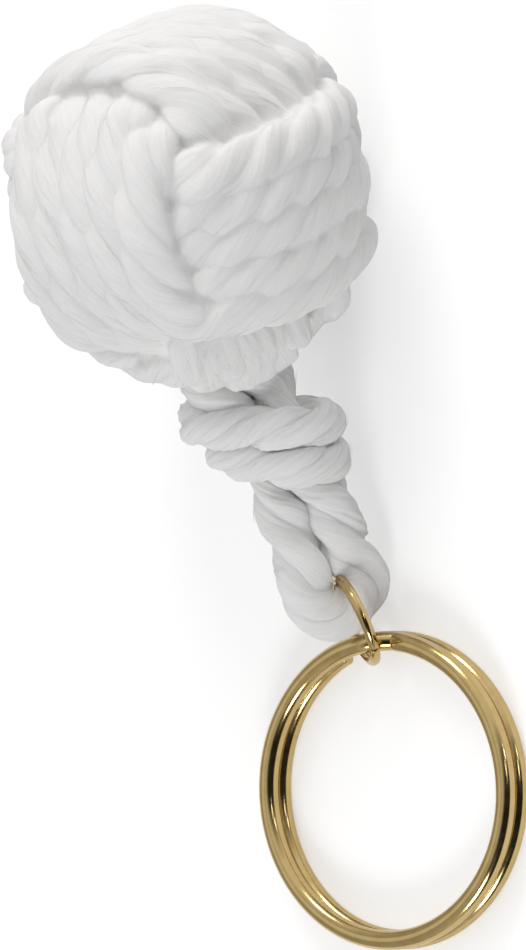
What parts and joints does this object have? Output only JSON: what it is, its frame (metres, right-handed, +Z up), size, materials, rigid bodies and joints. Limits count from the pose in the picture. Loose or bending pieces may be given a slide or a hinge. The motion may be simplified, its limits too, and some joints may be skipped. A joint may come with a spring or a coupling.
{
  "type": "monkey fist knot key ring",
  "caption": "White rope monkey's fist ball with a bound rope eye, a small brass jump ring and a flat split ring for keys.",
  "frame": {"origin": "centre of the underside of the bounding box, on the table the key ring lies on", "axes": "+X runs from the split ring towards the rope ball, +Z up from the table, +Y across to the left of that"},
  "size_m": [0.0964, 0.0382, 0.0371],
  "materials": {
    "rope": "matt white three-strand cotton rope",
    "core_wood": "plain turned wood, hidden inside the ball",
    "ring_brass": "bright polished"
  },
  "bodies": {
    "knot": {"core_ball": "core_wood", "first_turns": "rope", "second_turns": "rope", "third_turns": "rope", "eye_loop": "rope", "collar_turns": "rope"},
    "jump_ring": {"jump_ring": "ring_brass"},
    "split_ring": {"split_ring": "ring_brass"}
  },
  "joints": [
    {"name": "jump_ring_swing", "type": "hinge", "parent": "knot", "child": "jump_ring", "pos_m": [-0.01355, -0.00071, 0.00463], "axis": [0.2641, -0.6683, -0.6954], "range_deg": [-45, 35]},
    {"name": "split_ring_ride", "type": "hinge", "parent": "jump_ring", "child": "split_ring", "pos_m": [-0.01482, -0.0006, 0.00404], "axis": [0.2641, -0.6683, -0.6954], "range_deg": [-60, 60]}
  ]
}
